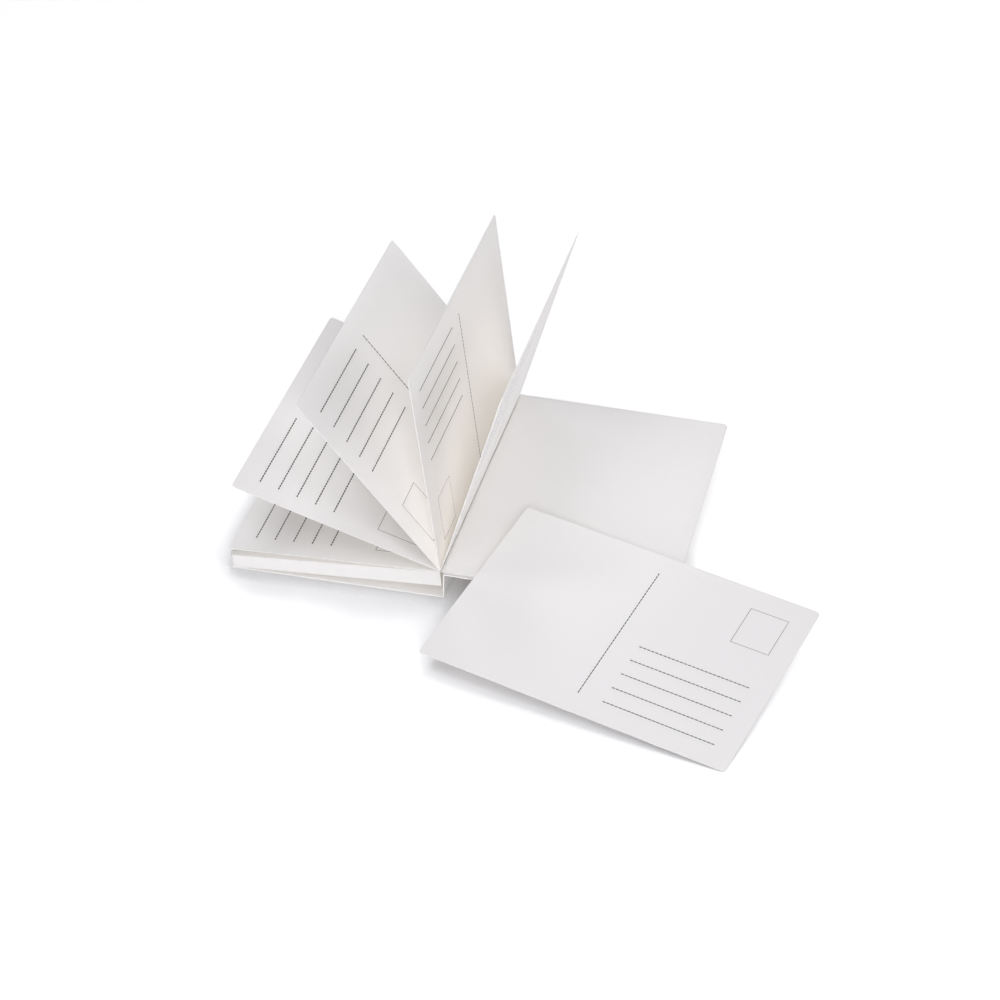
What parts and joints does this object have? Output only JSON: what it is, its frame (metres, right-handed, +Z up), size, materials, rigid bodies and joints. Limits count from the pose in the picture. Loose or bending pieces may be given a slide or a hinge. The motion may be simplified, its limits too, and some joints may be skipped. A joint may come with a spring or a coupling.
{
  "type": "open postcard book with a torn-out postcard",
  "caption": "Gummed book of blank tear-off postcards lying open, its cards fanned, with one torn-out card leaning on the near corner of the open front cover.",
  "frame": {"origin": "centre of the back cover's underside, the face that rests on the table", "axes": "+Z up, +X from the back cover's fore edge to the spine and on to the open front cover, +Y along the spine away from the torn-out card"},
  "size_m": [0.2759, 0.234, 0.1181],
  "materials": {
    "card_stock": "matte",
    "cover_board": "matte",
    "gum": "satin"
  },
  "bodies": {
    "cover_back": {"back_cover": "cover_board", "spine_panel": "cover_board"},
    "card_block": {"card_01": "card_stock", "card_02": "card_stock", "card_03": "card_stock", "card_04": "card_stock", "card_05": "card_stock", "card_06": "card_stock", "card_07": "card_stock", "card_08": "card_stock", "card_09": "card_stock", "card_10": "card_stock", "card_11": "card_stock", "card_12": "card_stock", "card_13": "card_stock", "card_14": "card_stock", "card_15": "card_stock", "card_16": "card_stock", "card_17": "card_stock", "card_18": "card_stock", "card_19": "card_stock", "binding_gum": "gum"},
    "card_20": {"card_20": "card_stock"},
    "card_21": {"card_21": "card_stock"},
    "card_22": {"card_22": "card_stock"},
    "card_23": {"card_23": "card_stock"},
    "card_24": {"card_24": "card_stock"},
    "front_cover": {"front_cover": "cover_board", "front_flyleaf": "card_stock"},
    "loose_card": {"loose_card": "card_stock"}
  },
  "joints": [
    {"name": "front_crease", "type": "hinge", "parent": "cover_back", "child": "front_cover", "pos_m": [0.05266, 0, 0.01326], "axis": [0, -1, 0], "range_deg": [0, 182.3]},
    {"name": "block_settle", "type": "hinge", "parent": "cover_back", "child": "card_block", "pos_m": [-0.05125, 0, 0.00062], "axis": [0, 1, 0], "range_deg": [0, 3.43]},
    {"name": "card_20_turn", "type": "hinge", "parent": "card_block", "child": "card_20", "pos_m": [0.0507, 0, 0.01487], "axis": [0, -1, 0], "range_deg": [0, 2]},
    {"name": "card_21_turn", "type": "hinge", "parent": "card_20", "child": "card_21", "pos_m": [0.05068, 0, 0.01528], "axis": [0, -1, 0], "range_deg": [0, 20.7]},
    {"name": "card_22_turn", "type": "hinge", "parent": "card_21", "child": "card_22", "pos_m": [0.05081, 0, 0.01567], "axis": [0, -1, 0], "range_deg": [0, 34.1]},
    {"name": "card_23_turn", "type": "hinge", "parent": "card_22", "child": "card_23", "pos_m": [0.05114, 0, 0.01592], "axis": [0, -1, 0], "range_deg": [0, 31.8]},
    {"name": "card_24_turn", "type": "hinge", "parent": "card_23", "child": "card_24", "pos_m": [0.05155, 0, 0.01596], "axis": [0, -1, 0], "range_deg": [0, 23.2]},
    {"name": "loose_card_tip", "type": "hinge", "parent": "front_cover", "child": "loose_card", "pos_m": [0.15746, -0.074, 0.01229], "axis": [-0.9962, -0.0826, 0.0264], "range_deg": [0, 7.13]}
  ],
  "couplings": [
    {"joint": "block_settle", "follows": "front_crease", "ratio": 0.018783},
    {"joint": "card_20_turn", "follows": "front_crease", "ratio": 0.010971},
    {"joint": "card_21_turn", "follows": "front_crease", "ratio": 0.11355},
    {"joint": "card_22_turn", "follows": "front_crease", "ratio": 0.18705},
    {"joint": "card_23_turn", "follows": "front_crease", "ratio": 0.17444},
    {"joint": "card_24_turn", "follows": "front_crease", "ratio": 0.12726},
    {"joint": "loose_card_tip", "follows": "front_crease", "ratio": 0.039089}
  ]
}
